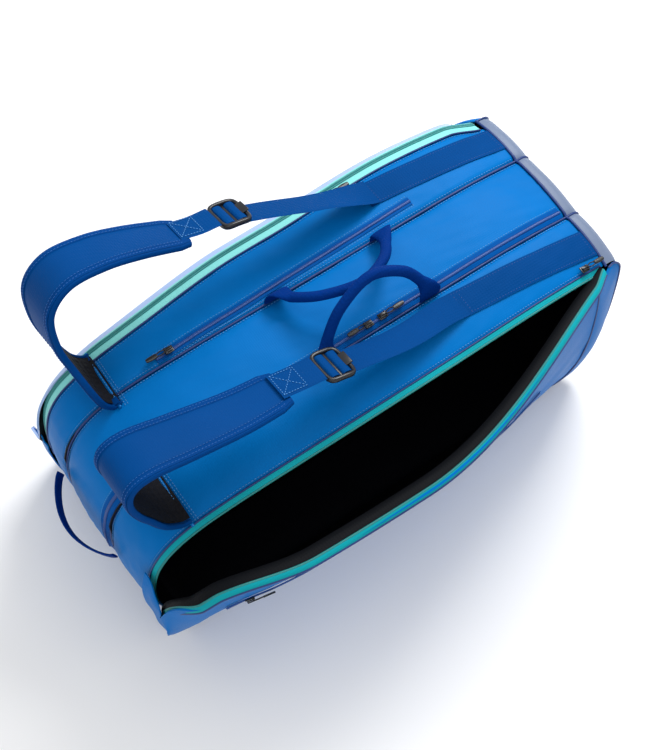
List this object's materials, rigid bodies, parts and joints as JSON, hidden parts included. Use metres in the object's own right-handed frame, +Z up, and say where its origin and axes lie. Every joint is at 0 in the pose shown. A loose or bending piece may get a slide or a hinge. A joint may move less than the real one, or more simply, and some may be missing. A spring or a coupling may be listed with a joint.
{
  "type": "racket tournament bag",
  "caption": "Long soft bag with compartments side by side for rackets, two padded shoulder straps, grab handles and full-length zips; one side compartment stands open.",
  "frame": {"origin": "on the flat face of the belly, under the middle of the bag's length and width", "axes": "+X along the bag towards its grey base (the racket heads' end), +Y towards the left compartment, +Z up through the spine with its straps and handles"},
  "size_m": [0.7881, 0.4481, 0.5056],
  "materials": {
    "coated_polyester": "coated woven polyester, satin",
    "polyester_navy": "coated woven polyester, satin",
    "webbing": "ribbed nylon webbing",
    "base_fabric": "coated woven polyester, satin",
    "lining": "knitted polyester lining",
    "mesh": "open spacer mesh",
    "zip_teal": "woven zip tape with a moulded coil",
    "zip_tonal": "woven zip tape with a moulded coil",
    "black_plastic": "moulded acetal, satin",
    "slider_metal": "black enamel"
  },
  "bodies": {
    "bag_body": {"belly_panel": "polyester_navy", "gusset_middle": "coated_polyester", "gusset_left": "coated_polyester", "gusset_right": "coated_polyester", "base_middle": "base_fabric", "base_left": "base_fabric", "base_right": "base_fabric", "base_side_left": "polyester_navy", "base_side_right": "polyester_navy", "divider_left": "lining", "divider_right": "lining", "zip_tape_left_spine": "zip_teal", "zip_tape_right_spine": "zip_teal", "zip_tape_middle": "zip_tonal", "zip_tape_pocket": "zip_tonal", "webbing_strip_left": "webbing", "webbing_strip_right": "webbing"},
    "right_panel": {"side_panel_right": "coated_polyester", "zip_tape_right_panel": "zip_teal", "side_pocket_zip": "zip_tonal"},
    "left_panel": {"side_panel_left": "coated_polyester", "zip_tape_left_panel": "zip_teal"},
    "left_handle": {"grab_handle_left": "webbing"},
    "right_handle": {"grab_handle_right": "webbing"},
    "end_handle": {"grab_handle_end": "webbing"},
    "left_strap": {"strap_pad_left": "webbing", "strap_lining_left": "mesh", "strap_tab_left": "webbing", "strap_buckle_left": "black_plastic", "strap_webbing_left": "webbing"},
    "right_strap": {"strap_pad_right": "webbing", "strap_lining_right": "mesh", "strap_tab_right": "webbing", "strap_buckle_right": "black_plastic", "strap_webbing_right": "webbing"},
    "slider_middle_front": {"slider_middle_front": "slider_metal"},
    "pull_middle_front": {"pull_middle_front": "slider_metal"},
    "slider_middle_rear": {"slider_middle_rear": "slider_metal"},
    "pull_middle_rear": {"pull_middle_rear": "slider_metal"},
    "slider_pocket": {"slider_pocket": "slider_metal"},
    "pull_pocket": {"pull_pocket": "slider_metal"},
    "slider_left_zip": {"slider_left_zip": "slider_metal"},
    "pull_left_zip": {"pull_left_zip": "slider_metal"},
    "slider_right_zip": {"slider_right_zip": "slider_metal"},
    "pull_right_zip": {"pull_right_zip": "slider_metal"},
    "slider_side_pocket": {"slider_side_pocket": "slider_metal"},
    "pull_side_pocket": {"pull_side_pocket": "slider_metal"}
  },
  "joints": [
    {"name": "right_panel_hinge", "type": "hinge", "parent": "bag_body", "child": "right_panel", "pos_m": [0, -0.158, 0.009], "axis": [1, 0, 0], "range_deg": [-18.5, 38]},
    {"name": "left_panel_hinge", "type": "hinge", "parent": "bag_body", "child": "left_panel", "pos_m": [0, 0.158, 0.009], "axis": [-1, 0, 0], "range_deg": [0, 55]},
    {"name": "left_handle_hinge", "type": "hinge", "parent": "bag_body", "child": "left_handle", "pos_m": [0.037, 0.054, 0.352], "axis": [1, 0, 0], "range_deg": [-52, 23]},
    {"name": "right_handle_hinge", "type": "hinge", "parent": "bag_body", "child": "right_handle", "pos_m": [0.037, -0.054, 0.352], "axis": [1, 0, 0], "range_deg": [-14, 25]},
    {"name": "end_handle_hinge", "type": "hinge", "parent": "bag_body", "child": "end_handle", "pos_m": [-0.382, -0.006, 0.205], "axis": [0, 1, 0], "range_deg": [-40, 40]},
    {"name": "left_strap_hinge", "type": "hinge", "parent": "bag_body", "child": "left_strap", "pos_m": [0, 0.102, 0.346], "axis": [1, 0, 0], "range_deg": [-40, 50]},
    {"name": "right_strap_hinge", "type": "hinge", "parent": "bag_body", "child": "right_strap", "pos_m": [0, -0.102, 0.346], "axis": [1, 0, 0], "range_deg": [-10, 75]},
    {"name": "slide_middle_front", "type": "slide", "parent": "bag_body", "child": "slider_middle_front", "axis": [-1, 0, 0], "range_m": [0, 0.17]},
    {"name": "lift_pull_middle_front", "type": "hinge", "parent": "slider_middle_front", "child": "pull_middle_front", "pos_m": [0.028, -0.0445, 0.35088], "axis": [0, 1, 0], "range_deg": [0, 120]},
    {"name": "slide_middle_rear", "type": "slide", "parent": "bag_body", "child": "slider_middle_rear", "axis": [1, 0, 0], "range_m": [0, 0.1]},
    {"name": "lift_pull_middle_rear", "type": "hinge", "parent": "slider_middle_rear", "child": "pull_middle_rear", "pos_m": [0.054, -0.0445, 0.35088], "axis": [0, -1, 0], "range_deg": [0, 120]},
    {"name": "slide_pocket", "type": "slide", "parent": "bag_body", "child": "slider_pocket", "axis": [0.9996, 0.0287, 0.0015], "range_m": [0, 0.22]},
    {"name": "lift_pull_pocket", "type": "hinge", "parent": "slider_pocket", "child": "pull_pocket", "pos_m": [-0.19806, 0.0643, 0.35089], "axis": [0, 1, 0], "range_deg": [0, 150]},
    {"name": "slide_left_zip", "type": "slide", "parent": "bag_body", "child": "slider_left_zip", "axis": [-0.9998, 0.0188, 0], "range_m": [0, 0.12]},
    {"name": "lift_pull_left_zip", "type": "hinge", "parent": "slider_left_zip", "child": "pull_left_zip", "pos_m": [0.102, 0.14184, 0.34479], "axis": [0, -1, 0], "range_deg": [0, 150]},
    {"name": "slide_right_zip", "type": "slide", "parent": "bag_body", "child": "slider_right_zip", "axis": [-0.988, 0.026, 0.1521], "range_m": [0, 0.035]},
    {"name": "lift_pull_right_zip", "type": "hinge", "parent": "slider_right_zip", "child": "pull_right_zip", "pos_m": [0.32005, -0.13135, 0.33676], "axis": [0, -1, 0], "range_deg": [0, 150]},
    {"name": "slide_side_pocket", "type": "slide", "parent": "right_panel", "child": "slider_side_pocket", "axis": [0.9976, -0.0669, -0.0157], "range_m": [0, 0.06]},
    {"name": "lift_pull_side_pocket", "type": "hinge", "parent": "slider_side_pocket", "child": "pull_side_pocket", "pos_m": [-0.26862, -0.23781, 0.22359], "axis": [0, 0.2277, -0.9737], "range_deg": [0, 150]}
  ]
}
